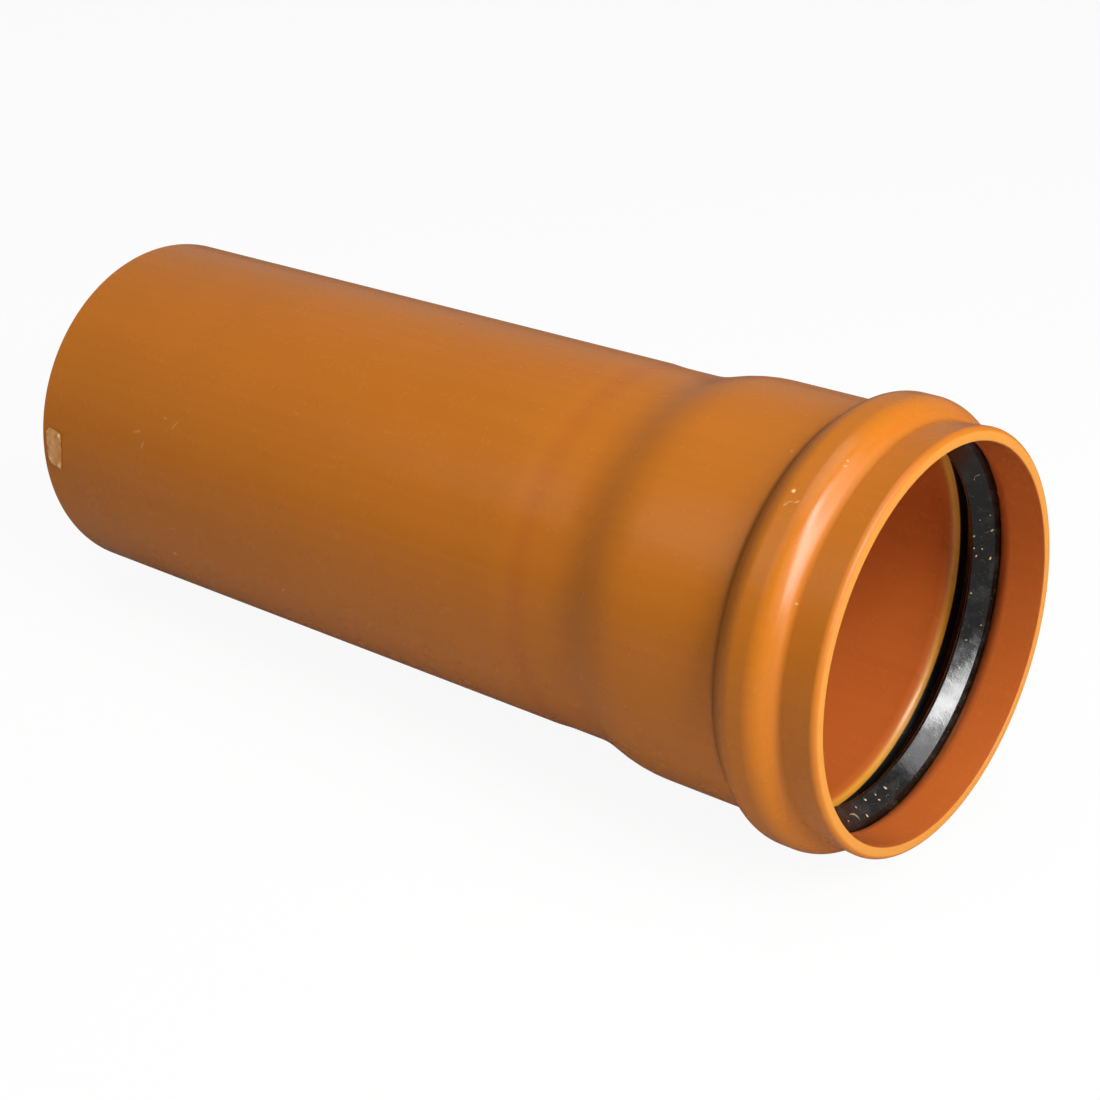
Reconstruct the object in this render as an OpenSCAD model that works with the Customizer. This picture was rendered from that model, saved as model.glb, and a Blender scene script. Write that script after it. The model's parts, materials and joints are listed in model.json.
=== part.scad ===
// Short drain pipe with a belled push-fit socket, lying on a level floor.
// It rests on the bead of its socket and on the lower edge of its plain end.

/* [Barrel] */
// Outside diameter of the barrel and of its plain spigot end
pipe_od = 110; // [75:1:200]
// Wall of the barrel
barrel_wall = 3.2; // [2.4:0.1:6]
// Overall length, from the mouth of the socket to the spigot end
overall_length = 304; // [200:1:1000]
// Broken edge round the saw-cut spigot end
cut_edge = 0.4; // [0.1:0.1:1]

/* [Socket] */
// Radial gap that the socket leaves round the spigot of the next pipe
fit_gap = 0.7; // [0.3:0.1:1.5]
// Wall of the socket, stretched a little thinner than the barrel
socket_wall = 3; // [2:0.1:5.5]
// Depth of the parallel socket, from the mouth to the flare
socket_depth = 70.5; // [55:0.5:150]
// Length of the flare between the socket and the barrel
flare_length = 13; // [10:1:30]
// Rounding where the socket turns into the flare
flare_round = 45; // [15:1:80]
// Rounding in the hollow where the flare meets the barrel
neck_round = 42; // [5:1:60]

/* [Heated zone] */
// How far the softened barrel shrank behind the flare
waist_depth = 0.3; // [0.1:0.05:0.6]
// Length of the shrunken zone behind the flare
waist_length = 18; // [8:1:40]
// Length over which the barrel comes back to its full diameter
waist_fade = 5; // [2:0.5:10]

/* [Mouth] */
// Length of the collar between the mouth and the bead
collar_length = 12.1; // [8:0.1:25]
// How far the collar flares out at the mouth
mouth_flare = 0.9; // [0.1:0.1:1.5]
// Rounding on the outer edge of the mouth
rim_round = 1.9; // [0.3:0.1:2.4]
// Rounding on the inner edge of the mouth
bore_edge = 0.4; // [0.1:0.1:0.8]

/* [Bead] */
// Height of the bead above the outside of the socket
bead_rise = 5.2; // [3:0.1:10]
// Width of the bead from foot to foot
bead_width = 19.8; // [16:0.2:40]
// Slope of the bead's side towards the mouth
front_flank = 50; // [35:1:60]
// Slope of the bead's side towards the barrel
back_flank = 43; // [35:1:65]
// Rounding on the crest of the bead
crest_round = 7; // [4:0.5:12]
// Hollow at the foot of the bead on the mouth side
front_foot_round = 2.5; // [1:0.5:8]
// Hollow at the foot of the bead on the barrel side
back_foot_round = 2; // [0.5:0.5:6]

/* [Sealing ring] */
// Gap between the ring and the groove it sits in
seat_gap = 0.15; // [0.05:0.05:0.5]
// Height above the socket wall at which the ring starts in the groove's front side
toe_rise = 1.5; // [0.8:0.1:2.5]
// Height above the socket wall at which the ring ends on the groove's back side
heel_rise = 2.6; // [0.8:0.1:3.5]
// How far the front of the ring stands inside the socket wall
nose_reach = 0.3; // [0:0.1:1]
// How far the nose of the ring lies behind its toe
nose_setback = 0.9; // [0.3:0.1:2]
// How far the lip stands inside the socket wall
lip_reach = 4.3; // [2:0.1:6]
// How far the lip runs back from the nose to its tip
lip_run = 5.3; // [4:0.1:7]
// Thickness of the lip at its tip
lip_thickness = 1.4; // [0.8:0.1:2.5]
// Width of the root that the lip stands on, behind the nose
lip_root = 4.6; // [3:0.2:6]

/* [Hidden] */
$fn = 180;

// Straight pieces that stand for one rounded corner
arc_steps = 8;

// Radii from the pipe's axis
barrel_r = pipe_od / 2;
barrel_bore_r = barrel_r - barrel_wall;
waist_r = barrel_r - waist_depth;
socket_bore_r = barrel_r + fit_gap;
socket_r = socket_bore_r + socket_wall;
mouth_r = socket_r + mouth_flare;
bead_r = socket_r + bead_rise;
groove_r = bead_r - socket_wall;

// Distances from the mouth, along the axis
bead_back = collar_length + bead_width;
crest_front = collar_length + bead_rise / tan(front_flank);
crest_back = bead_back - bead_rise / tan(back_flank);
flare_end = socket_depth + flare_length;
waist_end = flare_end + waist_length;

// The inside follows the outside at the wall's thickness, so its corners move along the axis
flare_angle = atan((socket_r - waist_r) / flare_length);
front_shift = socket_wall * tan(front_flank / 2);
back_shift = socket_wall * tan(back_flank / 2);
flare_shift = socket_wall * tan(flare_angle / 2);

// Groove of the bead, inside
groove_front = collar_length + front_shift;
groove_back = bead_back - back_shift;
groove_round = crest_round - socket_wall;

// Outline of the pipe's wall: [distance from the mouth, radius, rounding] of each corner
pipe_outside = [
    [0, mouth_r, rim_round],
    [collar_length, socket_r, front_foot_round],
    [crest_front, bead_r, crest_round],
    [crest_back, bead_r, crest_round],
    [bead_back, socket_r, back_foot_round],
    [socket_depth, socket_r, flare_round],
    [flare_end, waist_r, neck_round],
    [waist_end, waist_r, 0],
    [waist_end + waist_fade, barrel_r, 0],
    [overall_length, barrel_r, cut_edge],
];
pipe_inside = [
    [overall_length, barrel_bore_r, cut_edge],
    [flare_end - flare_shift, barrel_bore_r, neck_round + socket_wall],
    [socket_depth - flare_shift, socket_bore_r, flare_round - socket_wall],
    [groove_back, socket_bore_r, back_foot_round + socket_wall],
    [crest_back - back_shift, groove_r, groove_round],
    [crest_front + front_shift, groove_r, groove_round],
    [groove_front, socket_bore_r, front_foot_round + socket_wall],
    [0, socket_bore_r, bore_edge],
];

// Sealing ring: its back follows the groove at the seat's gap, and its lip leans into the socket
seat_r = groove_r - seat_gap;
seat_front = crest_front + front_shift + seat_gap * tan(front_flank / 2);
seat_back = crest_back - back_shift - seat_gap * tan(back_flank / 2);
toe = groove_front + seat_gap / sin(front_flank) + toe_rise / tan(front_flank);
heel = groove_back - seat_gap / sin(back_flank) - heel_rise / tan(back_flank);
nose = toe + nose_setback;
lip_tip = nose + lip_run;
lip_angle = atan((lip_reach - nose_reach) / lip_run);
lip_edge = lip_thickness / 2;
seal_corners = [
    [toe, socket_bore_r + toe_rise, lip_edge],
    [seat_front, seat_r, groove_round],
    [seat_back, seat_r, groove_round],
    [heel, socket_bore_r + heel_rise, lip_edge],
    [nose + lip_root, socket_bore_r + heel_rise, lip_edge],
    [lip_tip + lip_thickness * sin(lip_angle),
     socket_bore_r - lip_reach + lip_thickness * cos(lip_angle), lip_edge],
    [lip_tip, socket_bore_r - lip_reach, lip_edge],
    [nose, socket_bore_r - nose_reach, lip_edge],
];

// The floor touches the rounded back of the crest and the spigot's cut edge
crest_hold = crest_back - crest_round * tan(back_flank / 2);
spigot_hold = overall_length - cut_edge;
hold_span = spigot_hold - crest_hold;
hold_drop = (bead_r - crest_round) - (barrel_r - cut_edge);
rest_tilt = atan2(hold_drop, hold_span)
    + asin((crest_round - cut_edge) / norm([hold_span, hold_drop]));
mouth_height = crest_hold * sin(rest_tilt) + (bead_r - crest_round) * cos(rest_tilt) + crest_round;

// The origin is on the floor, under the middle of the lying pipe
mouth_x = (overall_length * cos(rest_tilt) + (barrel_r - mouth_r) * sin(rest_tilt)) / 2;

function unit(v) = v / norm(v);
function place(corner) = [corner[0], corner[1]];

// Points of one corner, rounded as far as its two sides leave room
function corner_arc(before, corner, after) =
    let (
        tip = place(corner),
        in_side = unit(place(before) - tip),
        out_side = unit(place(after) - tip),
        half = acos(in_side * out_side) / 2,
        room = min(norm(place(before) - tip), norm(place(after) - tip)) / 2,
        reach = min(corner[2] / tan(half), room),
        radius = reach * tan(half),
        centre = tip + unit(in_side + out_side) * radius / sin(half),
        begin = tip + in_side * reach - centre,
        begin_angle = atan2(begin[1], begin[0]),
        turn = -sign(cross(in_side, out_side)) * (180 - 2 * half)
    )
    corner[2] == 0 ? [tip] : [
        for (i = [0 : arc_steps])
            let (angle = begin_angle + turn * i / arc_steps)
            centre + radius * [cos(angle), sin(angle)]
    ];

// Closed outline with its corners rounded, as radius and height for turning about the axis
function section(corners) = [
    for (i = [0 : len(corners) - 1])
        let (
            before = corners[(i + len(corners) - 1) % len(corners)],
            after = corners[(i + 1) % len(corners)]
        )
        for (point = corner_arc(before, corners[i], after))
            [point[1], -point[0]]
];

// Turns an outline about the pipe's axis, and lays it on the floor with the mouth towards +X
module turned_and_laid(corners) {
    translate([mouth_x, 0, mouth_height])
        rotate([0, 90 - rest_tilt, 0])
            rotate_extrude()
                polygon(section(corners));
}

module pipe() {
    color("#c4722c")
        turned_and_laid(concat(pipe_outside, pipe_inside));
}

module seal_ring() {
    color("#1c1c1b")
        turned_and_laid(seal_corners);
}

pipe();
seal_ring();
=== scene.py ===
"""A short socketed drain pipe with a rubber lip seal, lying on a pale studio floor."""

import json
import math

import bmesh
import bpy
from bpy.props import FloatProperty, FloatVectorProperty, IntProperty, PointerProperty
from mathutils import Matrix, Vector


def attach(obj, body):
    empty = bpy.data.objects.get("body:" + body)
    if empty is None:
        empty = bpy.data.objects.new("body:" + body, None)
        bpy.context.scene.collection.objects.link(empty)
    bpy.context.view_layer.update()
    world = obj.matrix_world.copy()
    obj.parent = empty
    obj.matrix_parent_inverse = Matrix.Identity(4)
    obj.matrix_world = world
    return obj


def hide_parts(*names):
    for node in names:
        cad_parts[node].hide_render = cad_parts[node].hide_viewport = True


bl_info = {
    "name": "Socketed Drain Pipe",
    "version": (1, 0, 0),
    "blender": (4, 5, 0),
    "location": "View3D > Sidebar > Drain Pipe",
    "description": "Models a plastic drain pipe with a belled socket and a rubber lip seal",
    "category": "Add Mesh",
}

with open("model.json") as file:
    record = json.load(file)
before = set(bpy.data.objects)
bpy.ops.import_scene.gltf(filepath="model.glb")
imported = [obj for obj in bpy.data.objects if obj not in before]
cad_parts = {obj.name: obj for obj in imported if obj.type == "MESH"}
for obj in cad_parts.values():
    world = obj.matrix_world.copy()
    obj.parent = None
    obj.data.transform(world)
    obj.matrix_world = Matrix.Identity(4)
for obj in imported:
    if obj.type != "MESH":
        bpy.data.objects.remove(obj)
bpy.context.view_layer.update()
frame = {"record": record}

MM = 0.001
BODY = "root"
MOUNTS = {mount["name"]: mount for mount in frame["record"]["mounts"]}


def mount_size(mount, size):
    """A size of one of the part's mounts, in metres."""
    return MOUNTS[mount]["dims"][size] * MM


# Rounding of the edges at the mouth and at the cut end, where the mounts stop short of the faces
BORE_EDGE = 0.4 * MM
CUT_EDGE = 0.4 * MM

# The pipe's own frame: origin in the middle of the mouth, X out of the mouth, Z up
AXIS = Vector(MOUNTS["socket_mouth"]["axis"])
MOUTH_LAND = mount_size("socket_mouth", "length_mm")
MOUTH = Vector(MOUNTS["socket_mouth"]["pos_m"]) + AXIS * (MOUTH_LAND / 2 + BORE_EDGE)
TILT = math.asin(AXIS.z)
LIE = Matrix.Translation(MOUTH) @ Matrix.Rotation(-TILT, 4, "Y")
OVERALL_LENGTH = (MOUTH - Vector(MOUNTS["spigot"]["pos_m"])).length + CUT_EDGE


# Properties

def length(name, description, default):
    """A length that a user can change, in metres."""
    return FloatProperty(name=name, description=description, default=default,
                         min=0, precision=5, unit="LENGTH", subtype="DISTANCE")


def angle(name, description, degrees):
    """An angle that a user can change."""
    return FloatProperty(name=name, description=description,
                         default=math.radians(degrees), subtype="ANGLE")


def srgb_to_linear(channel):
    """One channel of a screen colour, 0 to 255, as linear light."""
    value = channel / 255
    return value / 12.92 if value <= 0.04045 else ((value + 0.055) / 1.055) ** 2.4


def colour(name, description, red, green, blue):
    """A colour that a user can change, given as it looks on screen."""
    default = [srgb_to_linear(channel) for channel in (red, green, blue)]
    return FloatVectorProperty(name=name, description=description, default=default,
                               size=3, min=0, max=1, subtype="COLOR")


def watts(name, description, default):
    """The power of a lamp."""
    return FloatProperty(name=name, description=description, default=default, min=0, unit="POWER")


def portion(name, description, default):
    """A share from 0 to 1 that a user can change."""
    return FloatProperty(name=name, description=description, default=default,
                         min=0, max=1, subtype="FACTOR")


def camera_size(name, description, default):
    """A size of the camera, in millimetres."""
    return FloatProperty(name=name, description=description, default=default, min=1, unit="CAMERA")


class PipeSizes(bpy.types.PropertyGroup):
    """Sizes of the pipe's wall, along the axis from the mouth."""

    barrel_radius: length("Barrel radius", "Outside radius of the barrel",
                          mount_size("spigot", "r_mm"))
    bore_radius: length("Bore radius", "Inside radius of the barrel",
                        mount_size("waterway", "r_mm"))
    socket_bore: length("Socket bore", "Inside radius of the socket",
                        mount_size("socket_mouth", "r_mm"))
    overall_length: length("Overall length", "From the mouth to the cut end", OVERALL_LENGTH)
    socket_wall: length("Socket wall", "Wall of the stretched socket", 3 * MM)
    socket_depth: length("Socket depth", "From the mouth to the flare", 70.5 * MM)
    flare_length: length("Flare length", "Between the socket and the barrel", 13 * MM)
    flare_round: length("Flare rounding", "Where the socket turns into the flare", 45 * MM)
    neck_round: length("Neck rounding", "Where the flare meets the barrel", 42 * MM)
    waist_depth: length("Waist depth", "How far the heated barrel shrank", 0.3 * MM)
    waist_length: length("Waist length", "Length of the shrunken zone", 18 * MM)
    waist_fade: length("Waist fade", "Length over which the waist ends", 5 * MM)
    collar_length: length("Collar length", "From the mouth to the bead", 12.1 * MM)
    mouth_flare: length("Mouth flare", "How far the collar opens at the mouth", 0.9 * MM)
    rim_round: length("Rim rounding", "Outer edge of the mouth", 1.9 * MM)
    bead_rise: length("Bead rise", "Height of the bead above the socket", 5.2 * MM)
    bead_width: length("Bead width", "Width of the bead from foot to foot", 19.8 * MM)
    front_flank: angle("Front flank", "Slope of the bead's side towards the mouth", 50)
    back_flank: angle("Back flank", "Slope of the bead's side towards the barrel", 43)
    crest_round: length("Crest rounding", "Rounding on top of the bead", 7 * MM)
    front_foot_round: length("Front foot", "Hollow before the bead", 2.5 * MM)
    back_foot_round: length("Back foot", "Hollow behind the bead", 2 * MM)
    turn_steps: IntProperty(name="Turn steps", description="Faces round the pipe", default=240)


class SealSizes(bpy.types.PropertyGroup):
    """Sizes of the rubber ring in the bead."""

    seat_gap: length("Seat gap", "Between the ring and its groove", 0.15 * MM)
    toe_rise: length("Toe rise", "Where the ring starts in the groove's front side", 1.5 * MM)
    heel_rise: length("Heel rise", "Where the ring ends on the groove's back side", 2.6 * MM)
    nose_reach: length("Nose reach", "How far its front stands inside the wall", 0.3 * MM)
    nose_setback: length("Nose setback", "How far the nose lies behind the toe", 0.9 * MM)
    lip_reach: length("Lip reach", "How far the lip stands inside the wall", 4.3 * MM)
    lip_run: length("Lip run", "How far the lip runs back from the nose to its tip", 5.3 * MM)
    lip_thickness: length("Lip thickness", "Thickness at the tip of the lip", 1.4 * MM)
    lip_root: length("Lip root", "Width of the root of the lip", 4.6 * MM)


class ScrapSizes(bpy.types.PropertyGroup):
    """Sizes of the film remnant by the cut end, and of the shavings on the seal."""

    film_width: length("Film width", "Along the pipe, before it is torn", 10 * MM)
    film_height: length("Film height", "Round the pipe, before it is torn", 14 * MM)
    film_thickness: length("Film thickness", "Thickness of the film", 0.07 * MM)
    film_lift: length("Film lift", "How far the film stands off the wall", 0.12 * MM)
    film_crinkle: length("Film crinkle", "Depth of its crinkles", 0.16 * MM)
    film_curl: length("Film curl", "How far its loose corners stand up", 0.45 * MM)
    film_end_gap: length("End gap", "From the film's middle to the cut end", 6.7 * MM)
    film_place: angle("Film place", "Angle from the top, negative towards the viewer", -87.2)
    curl_length: length("Curl length", "Length of a curled shaving", 3.4 * MM)
    curl_width: length("Curl width", "Width of a curled shaving", 0.3 * MM)
    curl_bend: angle("Curl bend", "How far a shaving curls round", 130)
    curl_twist: angle("Curl twist", "How far a shaving twists along its length", 35)
    flake_size: length("Flake size", "Width of a flat flake", 0.8 * MM)
    crumb_size: length("Crumb size", "Radius of a crumb", 0.26 * MM)
    chip_thickness: length("Chip thickness", "Thickness of shavings and flakes", 0.08 * MM)
    seed: IntProperty(name="Seed", description="Seed of the crinkles and chips", default=5)


class Finishes(bpy.types.PropertyGroup):
    """Colours of the pieces, with painted light and shade on the wall."""

    plastic: colour("Plastic", "Orange-brown of the wall", 196, 112, 22)
    bore_plastic: colour("Bore plastic", "Redder inside of the wall", 199, 104, 44)
    heat_stain: colour("Heat stain", "Redder ring where the heated zone ends", 186, 98, 26)
    cut_plastic: colour("Cut plastic", "Paler sawn face and whitened edges", 216, 150, 60)
    nick: colour("Nicks", "Whitened plastic in nicks and rubs", 250, 200, 140)
    rubber: colour("Rubber", "Black of the seal", 9, 9, 9)
    rubber_bloom: colour("Rubber bloom", "Pale bloom on the seal", 240, 240, 240)
    # Painted shade: a dark line in the crease behind the bead, where the bead shades the socket
    crease_painted_shade: colour("Crease painted shade", "Dark line behind the bead", 70, 34, 8)
    # Painted light: the groove's back side, which faces the mouth, coloured brighter than the rest
    groove_painted_light: colour("Groove painted light", "Yellower side of the groove", 255, 178, 56)
    film: colour("Film", "Pale remnant of clear film", 230, 168, 102)
    # Pale creases of the film and pale patches of the shavings, also the painted highlight at the film's
    # loose corners
    film_pale_and_highlight: colour("Film crease and highlight", "Whitened folds of the film", 255, 226, 172)
    shaving: colour("Shavings", "Dry shavings and crumbs", 166, 142, 96)
    floor: colour("Floor", "Pale studio floor", 240, 240, 240)
    floor_bounce: colour("Floor bounce", "Floor as it lights the pipe", 222, 222, 222)
    floor_mirror: colour("Floor mirror", "Floor as the pipe's gloss shows it", 128, 128, 128)


class StudioSettings(bpy.types.PropertyGroup):
    """Lamps, surroundings and camera."""

    key_power: watts("Key", "Tall softbox on the mouth side", 20.2)
    key_width: length("Key width", "Width of the key softbox", 0.42)
    key_height: length("Key height", "Height of the key softbox", 1.2)
    key_distance: length("Key distance", "From the pipe to the key softbox", 1.5)
    mouth_power: watts("Mouth fill", "Panel before the mouth", 8.8)
    front_power: watts("Front fill", "Panel on the viewer's side", 2.8)
    left_power: watts("Left fill", "Panel over the cut end", 2.6)
    fill_side: length("Fill side", "Side of each square fill panel", 1)
    fill_distance: length("Fill distance", "From the pipe to each fill panel", 1.6)
    top_power: watts("Overhead", "Large panel overhead", 11.8)
    top_side: length("Overhead side", "Side of the square panel overhead", 1.5)
    top_distance: length("Overhead distance", "From the pipe to the panel overhead", 1.8)
    mirrored_white: portion("Mirrored white", "Share of the white surroundings that gloss mirrors", 0.31)
    mirrored_floor: portion("Mirrored floor", "Share of the floor's white that gloss mirrors", 0.06)
    floor_glow: portion("Floor glow", "Share of the floor's white that takes no shadow", 0.93)
    floor_radius: length("Floor radius", "Radius of the studio floor", 6)
    camera_place: FloatVectorProperty(name="Camera place", default=(0.41146, -0.47255, 0.34858),
                                      description="Where the camera stands",
                                      size=3, subtype="TRANSLATION", unit="LENGTH")
    camera_pitch: angle("Camera pitch", "Turn up from straight down", 64.2196)
    camera_yaw: angle("Camera yaw", "Turn to the left", 39.8350)
    lens: camera_size("Lens", "Focal length", 74.317)
    sensor_width: camera_size("Sensor width", "Width of the camera's sensor", 36)


# Modelling helpers

def begin():
    """Leaves edit mode and deselects everything, so that operators act on new geometry alone."""
    if bpy.context.object and bpy.context.object.mode != "OBJECT":
        bpy.ops.object.mode_set(mode="OBJECT")
    bpy.ops.object.select_all(action="DESELECT")


def named(name):
    """Names the active object and its mesh."""
    piece = bpy.context.object
    piece.name = name
    piece.data.name = name
    return piece


def pick_vertices(piece, test):
    """Selects the vertices of the mesh in edit mode whose place passes a test."""
    mesh = bmesh.from_edit_mesh(piece.data)
    mesh.select_mode = {"VERT"}
    for vertex in mesh.verts:
        vertex.select = test(vertex.co)
    mesh.select_flush_mode()
    bmesh.update_edit_mesh(piece.data)


def pick_long_edges(piece, limit):
    """Selects the edges longer than a limit, and says how many there are."""
    mesh = bmesh.from_edit_mesh(piece.data)
    mesh.select_mode = {"EDGE"}
    found = 0
    for edge in mesh.edges:
        edge.select = edge.calc_length() > limit
        found += edge.select
    mesh.select_flush_mode()
    bmesh.update_edit_mesh(piece.data)
    return found


def modify(piece, kind, **settings):
    """Adds a modifier to the active piece and applies it."""
    bpy.ops.object.modifier_add(type=kind)
    modifier = piece.modifiers[-1]
    for key, value in settings.items():
        setattr(modifier, key, value)
    bpy.ops.object.modifier_apply(modifier=modifier.name)


def lay_down(piece):
    """Lays a piece from the pipe's own frame on the floor, with its place in its mesh."""
    begin()
    piece.select_set(True)
    bpy.context.view_layer.objects.active = piece
    piece.matrix_world = LIE @ piece.matrix_world
    bpy.ops.object.transform_apply(location=True, rotation=True, scale=True)


def own_point(distance, turn, radius):
    """A point in the pipe's own frame, by its distance from the mouth and its angle from the top."""
    return Vector((-distance, math.sin(turn) * radius, math.cos(turn) * radius))


def hand_over(piece, material, node=None):
    """Gives a finished piece its material and body, and hides the CAD node that it stands for, if any."""
    piece.data.materials.clear()
    piece.data.materials.append(material)
    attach(piece, BODY)
    if node:
        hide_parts(node)


# Turned shapes

ARC_STEP = math.radians(4.5)
LONGEST_RUN = 12 * MM
WELD = 0.001 * MM


class Corner:
    """One rounded corner of an outline: where its arc begins and ends, its centre and its turn."""

    def __init__(self, before, tip, after, rounding):
        in_side = (before - tip).normalized()
        out_side = (after - tip).normalized()
        half = in_side.angle(out_side) / 2
        room = min((before - tip).length, (after - tip).length) / 2
        reach = min(rounding / math.tan(half), room)
        self.begin = tip + in_side * reach
        self.end = tip + out_side * reach
        self.turn = 0
        if rounding:
            radius = reach * math.tan(half)
            self.centre = tip + (in_side + out_side).normalized() * radius / math.sin(half)
            side = math.copysign(1, in_side.x * out_side.y - in_side.y * out_side.x)
            self.turn = -side * (math.pi - 2 * half)


def rounded_corners(points):
    """Corners of a closed outline, from the distance, radius and rounding of each point."""
    tips = [Vector((-distance, radius)) for distance, radius, rounding in points]
    count = len(points)
    return [Corner(tips[i - 1], tips[i], tips[(i + 1) % count], points[i][2])
            for i in range(count)]


def trace_outline(name, points):
    """Draws a closed outline over the axis: straight runs are extruded and corners are spun."""
    corners = rounded_corners(points)
    begin()
    bpy.ops.mesh.primitive_plane_add(size=MM)
    outline = named(name)
    bpy.ops.object.mode_set(mode="EDIT")
    bpy.ops.mesh.select_all(action="SELECT")
    bpy.ops.mesh.merge(type="CENTER")
    pen = corners[-1].end
    bpy.ops.transform.translate(value=(pen.x, 0, pen.y))
    for corner in corners:
        run = corner.begin - pen
        bpy.ops.mesh.extrude_region_move(TRANSFORM_OT_translate={"value": (run.x, 0, run.y)})
        if corner.turn:
            bpy.ops.mesh.spin(steps=math.ceil(abs(corner.turn) / ARC_STEP), angle=corner.turn,
                              center=(corner.centre.x, 0, corner.centre.y), axis=(0, 1, 0))
        pen = corner.end
    bpy.ops.mesh.select_all(action="SELECT")
    bpy.ops.mesh.remove_doubles(threshold=WELD)
    while pick_long_edges(outline, LONGEST_RUN):
        bpy.ops.mesh.subdivide(number_cuts=1)
    return outline


def turn_outline(outline, steps):
    """Spins an outline once round the axis into a closed, smooth wall."""
    bpy.ops.mesh.select_all(action="SELECT")
    bpy.ops.mesh.spin(steps=steps, angle=math.tau, center=(0, 0, 0), axis=(1, 0, 0))
    bpy.ops.mesh.select_all(action="SELECT")
    bpy.ops.mesh.remove_doubles(threshold=WELD)
    bpy.ops.mesh.normals_make_consistent(inside=False)
    bpy.ops.object.mode_set(mode="OBJECT")
    bpy.ops.object.shade_smooth()
    modify(outline, "WEIGHTED_NORMAL", mode="FACE_AREA", keep_sharp=False)
    lay_down(outline)
    return outline


class Bead:
    """Places that the bead, the groove inside it and the seal share."""

    def __init__(self, size):
        self.socket_r = size.socket_bore + size.socket_wall
        self.crest_r = self.socket_r + size.bead_rise
        self.groove_r = self.crest_r - size.socket_wall
        self.front = size.collar_length
        self.back = size.collar_length + size.bead_width
        self.crest_front = self.front + size.bead_rise / math.tan(size.front_flank)
        self.crest_back = self.back - size.bead_rise / math.tan(size.back_flank)
        self.front_shift = size.socket_wall * math.tan(size.front_flank / 2)
        self.back_shift = size.socket_wall * math.tan(size.back_flank / 2)
        self.groove_front = self.front + self.front_shift
        self.groove_back = self.back - self.back_shift
        self.groove_round = size.crest_round - size.socket_wall


def wall_points(size):
    """Outline of the wall: distance from the mouth, radius and rounding of each corner."""
    bead = Bead(size)
    waist_r = size.barrel_radius - size.waist_depth
    flare_end = size.socket_depth + size.flare_length
    waist_end = flare_end + size.waist_length
    flare_angle = math.atan((bead.socket_r - waist_r) / size.flare_length)
    flare_shift = size.socket_wall * math.tan(flare_angle / 2)
    outside = [
        (0, bead.socket_r + size.mouth_flare, size.rim_round),
        (bead.front, bead.socket_r, size.front_foot_round),
        (bead.crest_front, bead.crest_r, size.crest_round),
        (bead.crest_back, bead.crest_r, size.crest_round),
        (bead.back, bead.socket_r, size.back_foot_round),
        (size.socket_depth, bead.socket_r, size.flare_round),
        (flare_end, waist_r, size.neck_round),
        (waist_end, waist_r, 0),
        (waist_end + size.waist_fade, size.barrel_radius, 0),
        (size.overall_length, size.barrel_radius, CUT_EDGE),
    ]
    inside = [
        (size.overall_length, size.bore_radius, CUT_EDGE),
        (flare_end - flare_shift, size.bore_radius, size.neck_round + size.socket_wall),
        (size.socket_depth - flare_shift, size.socket_bore, size.flare_round - size.socket_wall),
        (bead.groove_back, size.socket_bore, size.back_foot_round + size.socket_wall),
        (bead.crest_back - bead.back_shift, bead.groove_r, bead.groove_round),
        (bead.crest_front + bead.front_shift, bead.groove_r, bead.groove_round),
        (bead.groove_front, size.socket_bore, size.front_foot_round + size.socket_wall),
        (0, size.socket_bore, BORE_EDGE),
    ]
    return outside + inside


class Lip:
    """Places of the seal's nose and lip, which its outline and the shavings on it share."""

    def __init__(self, size, seal):
        bead = Bead(size)
        self.toe = (bead.groove_front + seal.seat_gap / math.sin(size.front_flank)
                    + seal.toe_rise / math.tan(size.front_flank))
        self.heel = (bead.groove_back - seal.seat_gap / math.sin(size.back_flank)
                     - seal.heel_rise / math.tan(size.back_flank))
        self.nose = self.toe + seal.nose_setback
        self.tip = self.nose + seal.lip_run
        self.nose_r = size.socket_bore - seal.nose_reach
        self.tip_r = size.socket_bore - seal.lip_reach
        self.lean = math.atan((self.nose_r - self.tip_r) / (self.tip - self.nose))

    def radius(self, distance):
        """Radius of the lip's open face at a distance from the mouth."""
        return self.nose_r - (distance - self.nose) * math.tan(self.lean)


def seal_points(size, seal):
    """Outline of the seal: its back follows the groove, and its lip leans into the socket."""
    bead = Bead(size)
    lip = Lip(size, seal)
    edge = seal.lip_thickness / 2
    heel_r = size.socket_bore + seal.heel_rise
    seat_r = bead.groove_r - seal.seat_gap
    seat_front = (bead.crest_front + bead.front_shift
                  + seal.seat_gap * math.tan(size.front_flank / 2))
    seat_back = (bead.crest_back - bead.back_shift
                 - seal.seat_gap * math.tan(size.back_flank / 2))
    return [
        (lip.toe, size.socket_bore + seal.toe_rise, edge),
        (seat_front, seat_r, bead.groove_round),
        (seat_back, seat_r, bead.groove_round),
        (lip.heel, heel_r, edge),
        (lip.nose + seal.lip_root, heel_r, edge),
        (lip.tip + seal.lip_thickness * math.sin(lip.lean),
         lip.tip_r + seal.lip_thickness * math.cos(lip.lean), edge),
        (lip.tip, lip.tip_r, edge),
        (lip.nose, lip.nose_r, edge),
    ]


# Material helpers

NODE_SPACING = 180


def new_material(name):
    """An empty node material, with its node tree."""
    material = bpy.data.materials.new(name)
    material.use_nodes = True
    material.node_tree.nodes.clear()
    return material, material.node_tree


def add(tree, kind, inputs=None, **settings):
    """Adds a shader node. A socket among its inputs is linked, and any other value is set."""
    made = tree.nodes.new("ShaderNode" + kind)
    made.location.x = NODE_SPACING * len(tree.nodes)
    for key, value in settings.items():
        setattr(made, key, value)
    for key, value in (inputs or {}).items():
        if isinstance(value, bpy.types.NodeSocket):
            tree.links.new(value, made.inputs[key])
        else:
            made.inputs[key].default_value = value
    return made


def math_node(tree, operation, first, second=0.0):
    """The result of one sum on two numbers or sockets."""
    return add(tree, "Math", {0: first, 1: second}, operation=operation).outputs[0]


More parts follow.
